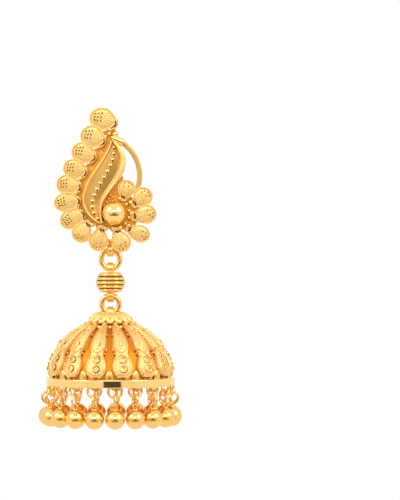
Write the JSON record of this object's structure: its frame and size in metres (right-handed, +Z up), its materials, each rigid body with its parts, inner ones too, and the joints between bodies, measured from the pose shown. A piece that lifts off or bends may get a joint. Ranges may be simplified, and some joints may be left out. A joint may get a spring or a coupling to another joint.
{
  "type": "jhumka earring",
  "caption": "Gold-coloured drop earring: a petal stud with a leaf and a ball, a ribbed bead between two rings, and a fluted bell with a fringe of small balls.",
  "frame": {"origin": "where the ear post leaves the flat back of the stud", "axes": "+Z up, -Y the way the earring faces, +Y into the ear along the post, +X to the right of a viewer in front"},
  "size_m": [0.0247, 0.0248, 0.0549],
  "materials": {
    "polished_gold": "polished yellow gold",
    "engraved_gold": "satin yellow gold with engraved lines and bright raised rims"
  },
  "bodies": {
    "stud": {"stud": "engraved_gold", "ear_post": "polished_gold"},
    "upper_ring": {"upper_ring": "polished_gold"},
    "connector": {"connector_bead": "polished_gold"},
    "lower_ring": {"lower_ring": "polished_gold"},
    "bell": {"bell": "engraved_gold", "drop_link_01": "polished_gold", "drop_link_02": "polished_gold", "drop_link_03": "polished_gold", "drop_link_04": "polished_gold", "drop_link_05": "polished_gold", "drop_link_06": "polished_gold", "drop_link_07": "polished_gold", "drop_link_08": "polished_gold", "drop_link_09": "polished_gold", "drop_link_10": "polished_gold", "drop_link_11": "polished_gold", "drop_link_12": "polished_gold", "drop_link_13": "polished_gold", "drop_link_14": "polished_gold", "drop_link_15": "polished_gold", "drop_link_16": "polished_gold", "drop_link_17": "polished_gold", "drop_link_18": "polished_gold", "drop_link_19": "polished_gold", "drop_ball_01": "polished_gold", "drop_ball_02": "polished_gold", "drop_ball_03": "polished_gold", "drop_ball_04": "polished_gold", "drop_ball_05": "polished_gold", "drop_ball_06": "polished_gold", "drop_ball_07": "polished_gold", "drop_ball_08": "polished_gold", "drop_ball_09": "polished_gold", "drop_ball_10": "polished_gold", "drop_ball_11": "polished_gold", "drop_ball_12": "polished_gold", "drop_ball_13": "polished_gold", "drop_ball_14": "polished_gold", "drop_ball_15": "polished_gold", "drop_ball_16": "polished_gold", "drop_ball_17": "polished_gold", "drop_ball_18": "polished_gold", "drop_ball_19": "polished_gold"}
  },
  "joints": [
    {"name": "upper_ring_swing", "type": "hinge", "parent": "stud", "child": "upper_ring", "pos_m": [0, 0, -0.0119], "axis": [1, 0, 0], "range_deg": [-30, 30]},
    {"name": "connector_sway", "type": "hinge", "parent": "upper_ring", "child": "connector", "pos_m": [0, 0, -0.0135], "axis": [0, 1, 0], "range_deg": [-25, 25]},
    {"name": "lower_ring_swing", "type": "hinge", "parent": "connector", "child": "lower_ring", "pos_m": [0, 0, -0.01974], "axis": [1, 0, 0], "range_deg": [-30, 30]},
    {"name": "bell_sway", "type": "hinge", "parent": "lower_ring", "child": "bell", "pos_m": [0, 0, -0.02124], "axis": [0, 1, 0], "range_deg": [-25, 25]}
  ]
}
